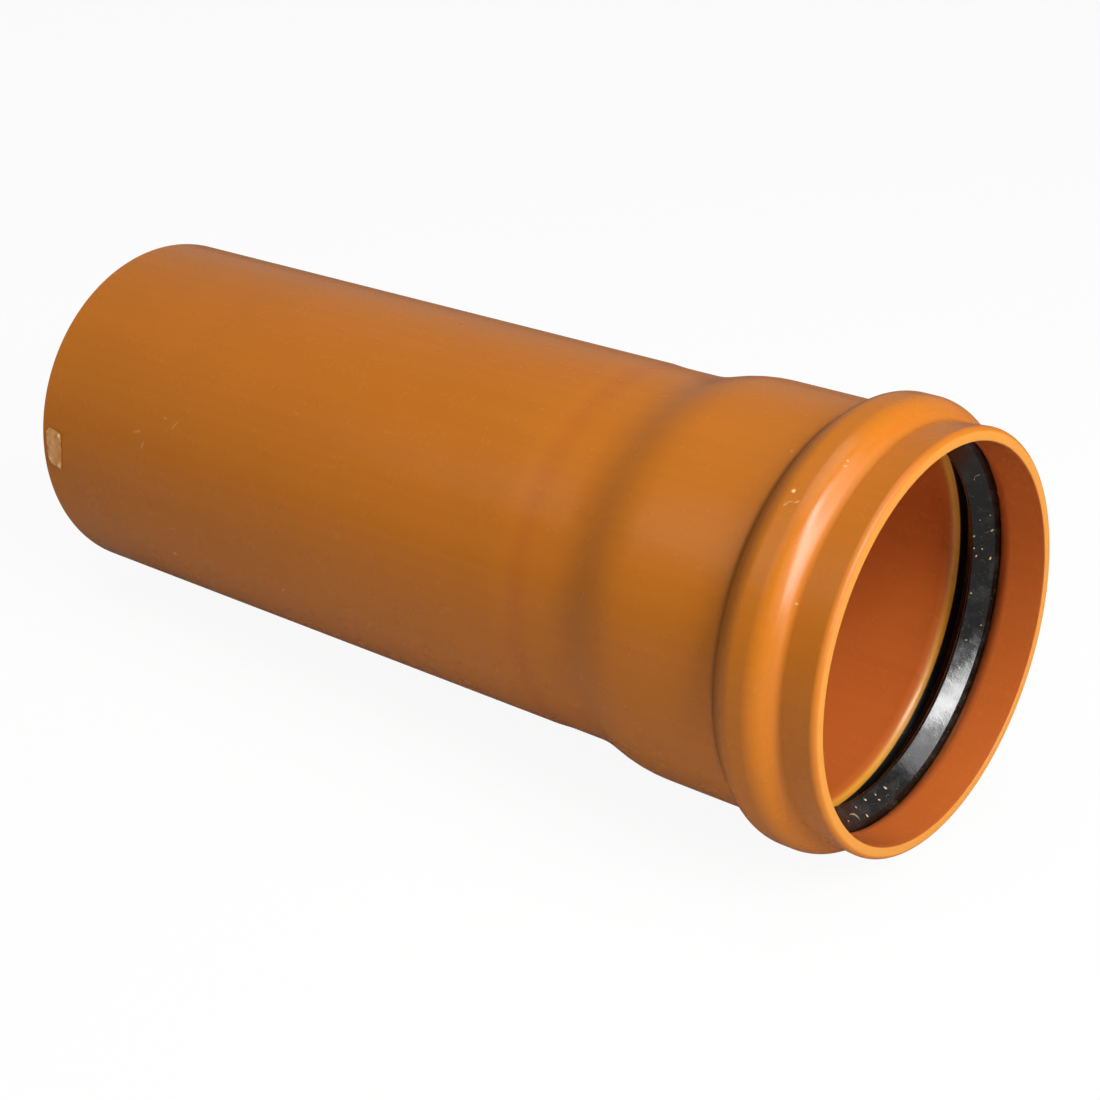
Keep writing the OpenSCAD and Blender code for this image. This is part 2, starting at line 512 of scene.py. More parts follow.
def ramp(tree, value, low, high, start=0.0, end=1.0):
    """Carries a value smoothly from start to end as it goes from low to high."""
    return add(tree, "MapRange", {"Value": value, "From Min": low, "From Max": high,
                                  "To Min": start, "To Max": end},
               interpolation_type="SMOOTHSTEP").outputs[0]


def mix_colour(tree, factor, first, second):
    """Mixes two colours by a factor."""
    made = add(tree, "Mix", {0: factor}, data_type="RGBA")
    for index, value in ((6, first), (7, second)):
        if isinstance(value, bpy.types.NodeSocket):
            tree.links.new(value, made.inputs[index])
        else:
            made.inputs[index].default_value = (*value, 1)
    return made.outputs[2]


def noise(tree, vector, scale, detail, roughness=0.5):
    """Noise of about the given number of features per metre."""
    return add(tree, "TexNoise", {"Vector": vector, "Scale": scale, "Detail": detail,
                                  "Roughness": roughness}).outputs["Fac"]


def stretched(tree, vector, scale):
    """Coordinates stretched by a factor for each axis."""
    return add(tree, "VectorMath", {0: vector, 1: scale}, operation="MULTIPLY").outputs[0]


def pipe_coordinates(tree):
    """Object coordinates turned into the pipe's own frame."""
    unturn = Matrix.Rotation(TILT, 3, "Y")
    place = add(tree, "TexCoord").outputs["Object"]
    return add(tree, "Mapping", {"Vector": place, "Location": -(unturn @ MOUTH),
                                 "Rotation": (0, TILT, 0)}).outputs[0]


def mouth_distance(tree, own):
    """Distance from the mouth, along the pipe's axis."""
    along = add(tree, "SeparateXYZ", {0: own}).outputs["X"]
    return math_node(tree, "MULTIPLY", along, -1.0)


def strongest(tree, *masks):
    """The strongest of some masks at each point."""
    result = masks[0]
    for mask in masks[1:]:
        result = math_node(tree, "MAXIMUM", result, mask)
    return result


def ring_mask(tree, distance, centre, half_width, strength):
    """A ring round the pipe that falls smoothly from its strength to 0 at its half width."""
    off = math_node(tree, "SUBTRACT", distance, centre)
    return ramp(tree, math_node(tree, "ABSOLUTE", off), 0, half_width, strength, 0)


# How far a nick's colour reaches off the surface, and the share of the nick that has its full strength
NICK_REACH = 1.5 * MM
NICK_CORE = 0.4


def nick_mask(tree, own, nick):
    """A spot as strong as the nick is deep, on a small oval of the wall's surface."""
    distance, degrees, radius, long, wide, turn, depth = nick
    around = math.radians(degrees)
    lie = Matrix.Rotation(-around, 3, "X") @ Matrix.Rotation(math.radians(turn), 3, "Z")
    spot = add(tree, "Mapping", {
        "Vector": own, "Location": own_point(distance * MM, around, radius * MM),
        "Rotation": lie.to_euler(), "Scale": (long * MM, wide * MM, NICK_REACH)}, vector_type="TEXTURE")
    reach = add(tree, "VectorMath", {0: spot.outputs[0]}, operation="LENGTH").outputs["Value"]
    return ramp(tree, reach, NICK_CORE, 1, depth, 0)


def wall_facing(tree, own):
    """How far the surface faces away from the pipe's axis, from -1 to 1, and its radius."""
    spoke = stretched(tree, own, (0, 1, 1))
    radius = add(tree, "VectorMath", {0: spoke}, operation="LENGTH").outputs["Value"]
    spoke = add(tree, "VectorMath", {0: spoke}, operation="NORMALIZE").outputs[0]
    normal = add(tree, "NewGeometry").outputs["Normal"]
    facing = add(tree, "VectorMath", {0: normal, 1: spoke}, operation="DOT_PRODUCT")
    return facing.outputs["Value"], radius


def close(tree, shader):
    """Links a shader to the material's output."""
    add(tree, "OutputMaterial", {"Surface": shader.outputs[0]})


# Materials

# Noise of the finishes, in features per metre
MOTTLE = 28
GRAIN = 900
GLOSS_PATCHES = 140
RUBBER_BLOOM = 240
RUBBER_GRAIN = 600
RUBBER_DUST = 2200
FILM_CLOUD = 420
FILM_WRINKLES = 700
SHAVING_PATCHES = 900
FLOOR_PATCHES = 4
# Streaks, in features per metre along the pipe and on the two axes across it
DRAWING_STREAKS = (5, 420, 420)
SCUFF_STREAKS = (60, 420, 420)
SAW_STREAKS = (1, 60, 1500)
# Part of the noise from 0 to 1 that most finishes use, and parts that others use
NOISE_SPAN = (0.3, 0.7)
STREAK_SPAN = (0.25, 0.75)
SCUFF_SPAN = (0.7, 0.8)
BLOOM_SPAN = (0.45, 0.75)
DUST_SPAN = (0.62, 0.74)
PATCH_SPAN = (0.35, 0.65)
CREASE_SPAN = (0.64, 0.8)
# Shades that mottle and streaks give the plastic
MOTTLE_SHADES = (0.96, 1.0)
STREAK_SHADES = (-0.015, 0.025)
# Roughness of each finish, from its glossiest to its dullest patches
PLASTIC_SATIN = (0.23, 0.28)
RUBBER_SATIN = (0.11, 0.25)
FILM_SATIN = (0.2, 0.4)
SHAVING_SATIN = (0.4, 0.6)
# How strongly each finish shows its second colour at most
BLOOM_STRENGTH = 0.02
DUST_STRENGTH = 0.3
CREASE_STRENGTH = 0.5
SHAVING_STRENGTH = 0.4
FLOOR_STRENGTH = 0.03
# How cloudy the film is, from its clearest to its cloudiest patches
FILM_CLOUDINESS = (0.55, 1)
# Height that the relief of a finish is measured in
RELIEF = 0.1 * MM
# Relief of the drawing streaks and of the saw marks, against the grain, and fall of the lip's crown
STREAK_RELIEF = 0.5
SAW_RELIEF = 3.0
LIP_CROWN = 1.3

# Rings round the wall: half width along the pipe, and strength from 0 to 1
HEAT_RING = (6 * MM, 0.4)
# The crease line and the crease shade are painted shade behind the bead
CREASE_LINE = (1.9 * MM, 0.42)
CREASE_SHADE = (4.5 * MM, 0.2)
# The groove's ring is painted light on the groove's back side
GROOVE_RING = (4.5 * MM, 1)
DULL_FOOT = (1.9 * MM, 0.25)
# How far the middles of three rings lie before the back of the bead or of its groove
LINE_SETBACK = 0.7 * MM
SHADE_SETBACK = 2.2 * MM
GROOVE_SETBACK = 1.5 * MM
# Heights above the socket's bore between which the groove's side turns black with painted shade behind the
# lip, in the rubber's colour
LIP_SHADE_RISES = (1.95 * MM, 2.2 * MM)
# Depths of the pale sawn face and of the pale rim, and the distances over which the rim's dullness ends
CUT_DEPTH = 0.5 * MM
RIM_DEPTH = 0.3 * MM
DULL_RIM = (0.8 * MM, 2.2 * MM)
# How far a surface faces away from the axis, from -1 to 1, where the bore ends and the outside begins
BORE_FACING = (-0.95, -0.75)
OUTSIDE_FACING = (-0.5, -0.3)
# How pale scuffs, the sawn face and the rim are, and the roughness that marks add
SCUFF_PALENESS = 0.3
CUT_PALENESS = 0.8
RIM_PALENESS = 0.6
PALE_DULLNESS = 0.3
CREASE_DULLNESS = 0.6
RIM_DULLNESS = 0.2

# Nicks and rubs in the wall, in mm and degrees: distance from the mouth, angle from the top, radius,
# half length along the pipe, half width, turn of the length, and depth from 0 to 1
NICKS = (
    (22.7, -35.8, 63.9, 0.75, 0.75, 0, 1.0),
    (22.9, -39.6, 63.9, 0.9, 0.35, 60, 0.45),
    (22.0, -38.6, 63.9, 1.2, 0.3, 25, 0.35),
    (20.2, -38.2, 63.9, 0.9, 0.35, 40, 0.5),
    (34.1, -21.6, 58.7, 0.5, 0.45, 0, 0.5),
    (15.2, -24.6, 62.2, 0.6, 0.3, 30, 0.4),
    (15.4, -23.0, 62.4, 0.4, 0.4, 0, 0.5),
    (11.8, -60.4, 58.9, 0.5, 0.4, 0, 0.6),
    (258.5, -72.0, 55, 2.2, 0.5, 20, 0.25),
    (255.5, -75.8, 55, 1.6, 0.6, 70, 0.3),
    (247.2, -65.0, 55, 1.1, 0.5, 0, 0.25),
    (242.6, -66.4, 55, 2.6, 0.45, 55, 0.25),
    (249.2, -115.2, 55, 0.9, 0.7, 0, 0.5),
    (198.7, -112.6, 55, 0.7, 0.6, 0, 0.45),
    (170, 40, 55, 3.5, 0.35, 8, 0.3),
    (228, 95, 55, 1.4, 0.6, 75, 0.35),
    (60, 130, 58.7, 1.8, 0.4, 30, 0.35),
    (21, 150, 63.9, 1.0, 0.5, 60, 0.45),
    (280, 165, 55, 2.2, 0.5, 12, 0.3),
)


class WallMarks:
    """Masks of the zones and marks on the pipe's wall, from 0 to 1, painted light and shade among them."""

    def __init__(self, tree, own, size):
        bead = Bead(size)
        distance = mouth_distance(tree, own)
        facing, radius = wall_facing(tree, own)
        outside = ramp(tree, facing, *OUTSIDE_FACING)
        inside = math_node(tree, "SUBTRACT", 1.0, outside)
        waist_end = size.socket_depth + size.flare_length + size.waist_length
        line = ring_mask(tree, distance, bead.back - LINE_SETBACK, *CREASE_LINE)
        shade = ring_mask(tree, distance, bead.back - SHADE_SETBACK, *CREASE_SHADE)
        # Painted light on the groove's back side, inside the wall
        groove = ring_mask(tree, distance, bead.groove_back - GROOVE_SETBACK, *GROOVE_RING)
        # Painted shade behind the lip, where the groove's side lies in the lip's shadow
        lip_shade_start, lip_shade_full = (size.socket_bore + rise for rise in LIP_SHADE_RISES)
        painted_lip_shade = ramp(tree, radius, lip_shade_start, lip_shade_full)
        self.heat = ring_mask(tree, distance, waist_end, *HEAT_RING)
        self.bore = ramp(tree, facing, *BORE_FACING, 1, 0)
        # Painted shade in the crease behind the bead, on the outside only
        self.crease = math_node(tree, "MULTIPLY", math_node(tree, "ADD", line, shade), outside)
        self.groove = math_node(tree, "MULTIPLY", groove, inside)
        self.painted_lip_shade = math_node(tree, "MULTIPLY", painted_lip_shade, inside)
        self.cut = ramp(tree, distance, size.overall_length - CUT_DEPTH, size.overall_length)
        self.rim = ramp(tree, distance, 0, RIM_DEPTH, 1, 0)
        self.dull_rim = ramp(tree, distance, *DULL_RIM, RIM_DULLNESS, 0)
        self.dull_foot = ring_mask(tree, distance, bead.front, *DULL_FOOT)


def wall_colour(tree, own, marks, streaks, finish):
    """Colour of the wall with its painted light and shade, and how pale it is where it is worn or cut."""
    base = mix_colour(tree, marks.heat, finish.plastic, finish.heat_stain)
    # Painted light on the groove's back side
    base = mix_colour(tree, marks.groove, base, finish.groove_painted_light)
    base = mix_colour(tree, marks.bore, base, finish.bore_plastic)
    # Painted shade behind the lip, in the rubber's colour
    base = mix_colour(tree, marks.painted_lip_shade, base, finish.rubber)
    # Painted shade in the crease behind the bead
    base = mix_colour(tree, marks.crease, base, finish.crease_painted_shade)
    mottle = noise(tree, own, MOTTLE, 3)
    shade = math_node(tree, "ADD", ramp(tree, mottle, *NOISE_SPAN, *MOTTLE_SHADES),
                      ramp(tree, streaks, *STREAK_SPAN, *STREAK_SHADES))
    base = add(tree, "HueSaturation", {"Color": base, "Value": shade}).outputs[0]
    scuffs = noise(tree, stretched(tree, own, SCUFF_STREAKS), 1, 4, 0.6)
    pale = strongest(tree, ramp(tree, scuffs, *SCUFF_SPAN, 0, SCUFF_PALENESS),
                     math_node(tree, "MULTIPLY", marks.cut, CUT_PALENESS),
                     math_node(tree, "MULTIPLY", marks.rim, RIM_PALENESS))
    base = mix_colour(tree, pale, base, finish.cut_plastic)
    for nick in NICKS:
        mark = nick_mask(tree, own, nick)
        base = mix_colour(tree, mark, base, finish.nick)
        pale = strongest(tree, pale, mark)
    return base, pale


def wall_roughness(tree, own, marks, pale):
    """Satin that is duller where the wall is worn or cut, and in the crease behind the bead, where shade
    is painted.
    """
    dull = strongest(tree, math_node(tree, "MULTIPLY", pale, PALE_DULLNESS),
                     math_node(tree, "MULTIPLY", marks.crease, CREASE_DULLNESS),
                     marks.dull_rim, marks.dull_foot)
    patches = noise(tree, own, GLOSS_PATCHES, 3)
    return math_node(tree, "ADD", ramp(tree, patches, *NOISE_SPAN, *PLASTIC_SATIN), dull)


def wall_relief(tree, own, marks, streaks):
    """Fine relief of the wall: drawing streaks, grain, and saw marks on the cut face."""
    saw = noise(tree, stretched(tree, own, SAW_STREAKS), 1, 2)
    sawn = math_node(tree, "MULTIPLY", saw, math_node(tree, "MULTIPLY", marks.cut, SAW_RELIEF))
    drawn = math_node(tree, "MULTIPLY", streaks, STREAK_RELIEF)
    height = math_node(tree, "ADD", drawn, noise(tree, own, GRAIN, 2))
    return math_node(tree, "ADD", height, sawn)


def plastic_material(size, finish):
    """Extruded plastic: satin, with drawing streaks, a heat ring, a pale sawn end, scuffs, nicks, and
    painted light and shade.
    """
    material, tree = new_material("orange_plastic")
    own = pipe_coordinates(tree)
    marks = WallMarks(tree, own, size)
    streaks = noise(tree, stretched(tree, own, DRAWING_STREAKS), 1, 2)
    base, pale = wall_colour(tree, own, marks, streaks, finish)
    height = wall_relief(tree, own, marks, streaks)
    bump = add(tree, "Bump", {"Height": height, "Strength": 0.06, "Distance": RELIEF})
    close(tree, add(tree, "BsdfPrincipled", {
        "Base Color": base, "Roughness": wall_roughness(tree, own, marks, pale),
        "Normal": bump.outputs[0], "IOR": 1.53, "Specular IOR Level": 0.36}))
    return material


def rubber_material(lip, finish):
    """Moulded black rubber: satin, with a dusty bloom, fine grain and a crowned lip."""
    material, tree = new_material("black_rubber")
    own = pipe_coordinates(tree)
    half_run = (lip.tip - lip.nose) / 2
    across = math_node(tree, "SUBTRACT", mouth_distance(tree, own), lip.tip + half_run)
    across = math_node(tree, "DIVIDE", across, half_run)
    crown = math_node(tree, "MULTIPLY", math_node(tree, "MULTIPLY", across, across), -LIP_CROWN)
    bloom = noise(tree, own, RUBBER_BLOOM, 4, 0.6)
    dust = ramp(tree, noise(tree, own, RUBBER_DUST, 3), *DUST_SPAN, 0, DUST_STRENGTH)
    bloomed = ramp(tree, bloom, *BLOOM_SPAN, 0, BLOOM_STRENGTH)
    base = mix_colour(tree, bloomed, finish.rubber, finish.rubber_bloom)
    base = mix_colour(tree, dust, base, finish.shaving)
    height = math_node(tree, "ADD", noise(tree, own, RUBBER_GRAIN, 5, 0.6), crown)
    bump = add(tree, "Bump", {"Height": height, "Strength": 0.5, "Distance": RELIEF})
    close(tree, add(tree, "BsdfPrincipled", {
        "Base Color": base, "Roughness": ramp(tree, bloom, *PATCH_SPAN, *RUBBER_SATIN),
        "Normal": bump.outputs[0], "IOR": 1.52, "Specular IOR Level": 0.64}))
    return material


# Torn outline of the film: its corners, towards the mouth and up the wall from its middle, in mm
FILM_CORNERS = (
    (-2.8, 6.8), (2.8, 5.8), (2.9, 0.5), (1.7, -6.8), (-3.1, -5.6), (-4.2, -2.8), (-4.5, 4.9),
)
# Corners that stand up from the wall, with the reach of each, in mm
LOOSE_CORNERS = ((2.0, 4.9, 1.4), (0.8, -5.5, 1.3), (-3.0, -3.8, 1.7))
# Steps in which a loose corner is lifted, as shares of its reach
LIFT_SHARES = (1, 0.75, 0.5, 0.25)
# Painted highlight at a loose corner: its share of the corner's reach, and its strength
CORNER_HIGHLIGHT_SHARE = 0.7
CORNER_HIGHLIGHT_STRENGTH = 0.85
# Squares of the film's sheet along the pipe and round it, and the angle up to which it is shaded smooth
FILM_GRID = (14, 24)
FILM_SMOOTH = math.radians(40)


def film_material(size, scrap, finish):
    """Crinkled remnant of clear film, cloudy with old glue, with pale creases and a painted highlight at
    its loose corners.
    """
    material, tree = new_material("film_remnant")
    own = pipe_coordinates(tree)
    cloud = noise(tree, own, FILM_CLOUD, 3)
    cloudy = ramp(tree, cloud, *NOISE_SPAN, *FILM_CLOUDINESS)
    base = mix_colour(tree, cloudy, finish.plastic, finish.film)
    middle = (size.overall_length - scrap.film_end_gap) / MM
    radius = size.barrel_radius / MM
    crease_highlight_mask = ramp(tree, cloud, *CREASE_SPAN, 0, CREASE_STRENGTH)
    for x, z, reach in LOOSE_CORNERS:
        around = math.degrees(scrap.film_place + z / radius)
        half = CORNER_HIGHLIGHT_SHARE * reach
        # Painted highlight on each loose corner, in the film's pale crease colour
        fold = nick_mask(tree, own, (middle - x, around, radius, half, half, 0, CORNER_HIGHLIGHT_STRENGTH))
        crease_highlight_mask = strongest(tree, crease_highlight_mask, fold)
    base = mix_colour(tree, crease_highlight_mask, base, finish.film_pale_and_highlight)
    wrinkles = noise(tree, own, FILM_WRINKLES, 3)
    bump = add(tree, "Bump", {"Height": wrinkles, "Strength": 0.4, "Distance": RELIEF})
    close(tree, add(tree, "BsdfPrincipled", {
        "Base Color": base, "Roughness": ramp(tree, cloud, *NOISE_SPAN, *FILM_SATIN),
        "Normal": bump.outputs[0]}))
    return material


def shaving_material(finish):
    """Dry plastic shavings, paler where they are thin."""
    material, tree = new_material("dry_shavings")
    patch = noise(tree, pipe_coordinates(tree), SHAVING_PATCHES, 2)
    thin = ramp(tree, patch, *PATCH_SPAN, 0, SHAVING_STRENGTH)
    base = mix_colour(tree, thin, finish.shaving, finish.film_pale_and_highlight)
    close(tree, add(tree, "BsdfPrincipled", {
        "Base Color": base, "Roughness": ramp(tree, patch, *NOISE_SPAN, *SHAVING_SATIN)}))
    return material


def floor_material(finish, studio):
    """Pale floor: part of its white is the same everywhere, and the rest takes the shadow."""
    material, tree = new_material("pale_floor")
    patch = noise(tree, add(tree, "TexCoord").outputs["Object"], FLOOR_PATCHES, 2)
    paler = ramp(tree, patch, *NOISE_SPAN, 0, FLOOR_STRENGTH)
    seen_base = mix_colour(tree, paler, finish.floor, (1, 1, 1))
    rays = add(tree, "LightPath")
    base = mix_colour(tree, rays.outputs["Is Camera Ray"], finish.floor_bounce, seen_base)
    base = mix_colour(tree, rays.outputs["Is Glossy Ray"], base, finish.floor_mirror)
    matte = add(tree, "BsdfDiffuse", {"Color": base})
    white = add(tree, "Emission", {"Color": (1, 1, 1, 1), "Strength": 1.0})
    seen = math_node(tree, "MULTIPLY", seen_rays(tree, studio.mirrored_floor), studio.floor_glow)
    close(tree, add(tree, "MixShader", {0: seen, 1: matte.outputs[0], 2: white.outputs[0]}))
    return material


def seen_rays(tree, mirrored):
    """How white the surroundings are for a ray: camera, transmission and glossy rays see them."""
    rays = add(tree, "LightPath")
    glossy = math_node(tree, "MULTIPLY", rays.outputs["Is Glossy Ray"], mirrored)
    return strongest(tree, rays.outputs["Is Camera Ray"], glossy, rays.outputs["Is Transmission Ray"])


# Pieces

class DRAIN_PIPE_OT_wall(bpy.types.Operator):
    """Model the pipe's wall: barrel, flare, socket, bead and mouth"""

    bl_idname = "drain_pipe.wall"
    bl_label = "Pipe Wall"

    def execute(self, context):
        size = context.scene.pipe_sizes
        wall = turn_outline(trace_outline("pipe_wall", wall_points(size)), size.turn_steps)
        material = plastic_material(size, context.scene.pipe_finishes)
        hand_over(wall, material, "pipe")
        return {"FINISHED"}


class DRAIN_PIPE_OT_seal(bpy.types.Operator):
    """Model the rubber ring with its lip in the bead"""

    bl_idname = "drain_pipe.seal"
    bl_label = "Lip Seal"

    def execute(self, context):
        size = context.scene.pipe_sizes
        ring = context.scene.seal_sizes
        seal = turn_outline(trace_outline("lip_seal", seal_points(size, ring)), size.turn_steps)
        material = rubber_material(Lip(size, ring), context.scene.pipe_finishes)
        hand_over(seal, material, "seal_ring")
        return {"FINISHED"}


def tear_film(scrap):
    """Cuts an upright sheet of film to its torn outline and lifts its loose corners."""
    begin()
    columns, rows = FILM_GRID
    bpy.ops.mesh.primitive_grid_add(x_subdivisions=columns, y_subdivisions=rows, size=scrap.film_height,
                                    rotation=(math.pi / 2, 0, 0))
    film = named("film_remnant")
    bpy.ops.object.transform_apply(location=False, rotation=True, scale=False)
    bpy.ops.object.mode_set(mode="EDIT")
    bpy.ops.mesh.select_all(action="SELECT")
    bpy.ops.transform.resize(value=(scrap.film_width / scrap.film_height, 1, 1))
    corners = [Vector((x * MM, 0, z * MM)) for x, z in FILM_CORNERS]
    for start, end in zip(corners, corners[1:] + corners[:1]):
        side = (end - start).normalized()
        bpy.ops.mesh.select_all(action="SELECT")
        bpy.ops.mesh.bisect(plane_co=start, plane_no=(-side.z, 0, side.x), clear_outer=True)
    bpy.ops.mesh.select_all(action="SELECT")
    bpy.ops.transform.vertex_random(offset=scrap.film_crinkle, normal=0, seed=scrap.seed)
    bpy.ops.transform.translate(value=(0, -scrap.film_lift - scrap.film_crinkle, 0))
    for x, z, reach in LOOSE_CORNERS:
        corner = Vector((x * MM, z * MM))
        for share in LIFT_SHARES:
            pick_vertices(film, lambda place: (place.xz - corner).length < reach * share * MM)
            bpy.ops.transform.translate(value=(0, -scrap.film_curl / len(LIFT_SHARES), 0))
    bpy.ops.object.mode_set(mode="OBJECT")
    return film


class DRAIN_PIPE_OT_film(bpy.types.Operator):
    """Model the torn, crinkled film remnant on the barrel by the cut end"""

    bl_idname = "drain_pipe.film"
    bl_label = "Film Remnant"

    def execute(self, context):
        size = context.scene.pipe_sizes
        scrap = context.scene.scrap_sizes
        film = tear_film(scrap)
        modify(film, "SIMPLE_DEFORM", deform_method="BEND", deform_axis="X",
               angle=film.dimensions.z / size.barrel_radius)
        film.location.y = -size.barrel_radius
        bpy.ops.object.transform_apply(location=True, rotation=False, scale=False)
        film.location.x = scrap.film_end_gap - size.overall_length
        film.rotation_euler.x = -math.pi / 2 - scrap.film_place
        lay_down(film)
        modify(film, "SUBSURF", levels=1, render_levels=1)
        modify(film, "SOLIDIFY", thickness=scrap.film_thickness, offset=0)
        bpy.ops.object.shade_smooth_by_angle(angle=FILM_SMOOTH)
        hand_over(film, film_material(size, scrap, context.scene.pipe_finishes))
        return {"FINISHED"}


# Chips on the lip's open face: kind, share of the way from the nose to the tip, angle from the top and
# turn from the way down the face, in degrees, and scale
CHIPS = (
    ("curl", 0.40, 57.3, 40, 0.85),
    ("flake", 0.11, 79.6, 20, 0.9),
    ("flake", 0.18, 89.1, 70, 1.0),
    ("crumb", 0.87, 81.1, 0, 1.0),
    ("crumb", 0.88, 85.5, 30, 0.8),
    ("flake", 0.78, 88.3, 50, 0.7),
    ("crumb", 0.54, 85.9, 0, 0.9),
    ("crumb", 0.58, 75.4, 10, 0.7),
    ("crumb", 0.14, 74.1, 60, 0.8),
    ("crumb", 0.84, 100.9, 0, 1.0),
    ("crumb", 0.61, 115.9, 45, 0.8),
    ("crumb", 0.14, 110.4, 0, 0.7),
    ("crumb", 0.30, 139.0, 20, 0.6),
    ("crumb", 0.75, 158.0, 80, 0.7),
    ("flake", 0.57, 173.5, 15, 1.1),
    ("curl", 0.30, 175.0, 80, 0.5),
    ("crumb", 0.62, 178.6, 0, 1.0),
    ("flake", 0.36, 178.7, 60, 0.8),
    ("flake", 0.70, -176.5, 30, 0.9),
    ("curl", 0.36, -167.6, 45, 1.25),
    ("flake", 0.10, -172.5, 10, 1.1),
    ("crumb", 0.62, -170.5, 0, 1.1),
    ("crumb", 0.20, -163.0, 0, 0.8),
)


# How uneven each kind of chip is
CURL_UNEVENNESS = 0.04 * MM
FLAKE_UNEVENNESS = 0.16 * MM
CRUMB_UNEVENNESS = 0.07 * MM
# Proportions of a flake and of a crumb, along their own axes
FLAKE_SHAPE = (1.3, 0.7, 1)
CRUMB_SHAPE = (1.25, 0.9, 0.7)
# Squares along a curl and across it, corners of a flake, and the angle up to which chips are shaded smooth
CURL_GRID = (12, 2)
FLAKE_CORNERS = 9
CHIP_SMOOTH = math.radians(30)


def shape_chip(name, proportions, unevenness, seed, upright=False):
    """Brings a new chip to its proportions, sets it on its edge if it is upright, and makes it uneven."""
    chip = named(name)
    bpy.ops.object.mode_set(mode="EDIT")
    bpy.ops.mesh.select_all(action="SELECT")
    bpy.ops.transform.resize(value=proportions)
    if upright:
        bpy.ops.transform.rotate(value=math.pi / 2, orient_axis="X", center_override=(0, 0, 0))
    bpy.ops.transform.vertex_random(offset=unevenness, seed=seed)
    bpy.ops.object.mode_set(mode="OBJECT")
    return chip


def chip_curl(scrap):
    """A narrow shaving that stands on its edge, curled along its length."""
    columns, rows = CURL_GRID
    bpy.ops.mesh.primitive_grid_add(x_subdivisions=columns, y_subdivisions=rows, size=scrap.curl_length)
    slim = (1, scrap.curl_width / scrap.curl_length, 1)
    curl = shape_chip("curl", slim, CURL_UNEVENNESS, scrap.seed, upright=True)
    modify(curl, "SIMPLE_DEFORM", deform_method="TWIST", deform_axis="X", angle=scrap.curl_twist)
    modify(curl, "SIMPLE_DEFORM", deform_method="BEND", deform_axis="Z", angle=scrap.curl_bend)
    return curl


def chip_flake(scrap):
    """A flat flake with an uneven edge."""
    bpy.ops.mesh.primitive_circle_add(vertices=FLAKE_CORNERS, radius=scrap.flake_size / 2,
                                      fill_type="TRIFAN")
    return shape_chip("flake", FLAKE_SHAPE, FLAKE_UNEVENNESS, scrap.seed + 1)


def chip_crumb(scrap):
    """An uneven crumb."""
    bpy.ops.mesh.primitive_ico_sphere_add(subdivisions=2, radius=scrap.crumb_size)
    return shape_chip("crumb", CRUMB_SHAPE, CRUMB_UNEVENNESS, scrap.seed + 2)


def model_chips(scrap):
    """Models each kind of chip once, resting on its lowest point, and gives them by name."""
    kinds = {}
    for name, make in (("curl", chip_curl), ("flake", chip_flake), ("crumb", chip_crumb)):
        begin()
        chip = make(scrap)
        if name != "crumb":
            modify(chip, "SOLIDIFY", thickness=scrap.chip_thickness, offset=0)
        low = min(vertex.co.z for vertex in chip.data.vertices)
        chip.location.z = -low
        bpy.ops.object.transform_apply(location=True, rotation=False, scale=False)
        kinds[name] = chip
    return kinds


def face_lie(lip, share, degrees, turn):
    """How a chip lies on the lip's face: X down the face, turned, and Z out of it."""
    around = math.radians(degrees)
    distance = lip.nose + share * (lip.tip - lip.nose)
    lean, spoke = lip.lean, Vector((0, math.sin(around), math.cos(around)))
    down = Vector((-math.cos(lean), 0, 0)) - spoke * math.sin(lean)
    out = Vector((math.sin(lean), 0, 0)) - spoke * math.cos(lean)
    axes = Matrix((down, out.cross(down), out)).transposed().to_4x4()
    place = Matrix.Translation(own_point(distance, around, lip.radius(distance)))
    return place @ axes @ Matrix.Rotation(math.radians(turn), 4, "Z")


class DRAIN_PIPE_OT_shavings(bpy.types.Operator):
    """Model the dry shavings, flakes and crumbs that lie on the seal"""

    bl_idname = "drain_pipe.shavings"
    bl_label = "Seal Shavings"

    def execute(self, context):
        scrap = context.scene.scrap_sizes
        lip = Lip(context.scene.pipe_sizes, context.scene.seal_sizes)
        kinds = model_chips(scrap)
        chips = []
        for kind, share, degrees, turn, scale in CHIPS:
            begin()
            kinds[kind].select_set(True)
            context.view_layer.objects.active = kinds[kind]
            bpy.ops.object.duplicate(linked=False)
            chip = context.object
            chip.matrix_world = face_lie(lip, share, degrees, turn) @ Matrix.Scale(scale, 4)
            chips.append(chip)
        begin()
        for chip in kinds.values():
            chip.select_set(True)
        bpy.ops.object.delete()
        for chip in chips:
            chip.select_set(True)
        context.view_layer.objects.active = chips[0]
        bpy.ops.object.join()
        shavings = named("seal_shavings")
        lay_down(shavings)
        bpy.ops.object.shade_smooth_by_angle(angle=CHIP_SMOOTH)
        hand_over(shavings, shaving_material(context.scene.pipe_finishes))
        return {"FINISHED"}


# Stage

# Places of the lamps round the pipe: azimuth and elevation, in degrees
KEY_PLACE = (-12, 30)
MOUTH_PLACE = (5, 35)
FRONT_PLACE = (-40, 32)
LEFT_PLACE = (-115, 45)
TOP_PLACE = (0, 90)
FLOOR_CORNERS = 96


def aim(azimuth, elevation):
    """Direction from the pipe, with azimuth 0 out of the mouth and negative towards the viewer."""
    turn = math.radians(azimuth)
    rise = math.radians(elevation)
    return Vector((math.cos(turn) * math.cos(rise), math.sin(turn) * math.cos(rise), math.sin(rise)))


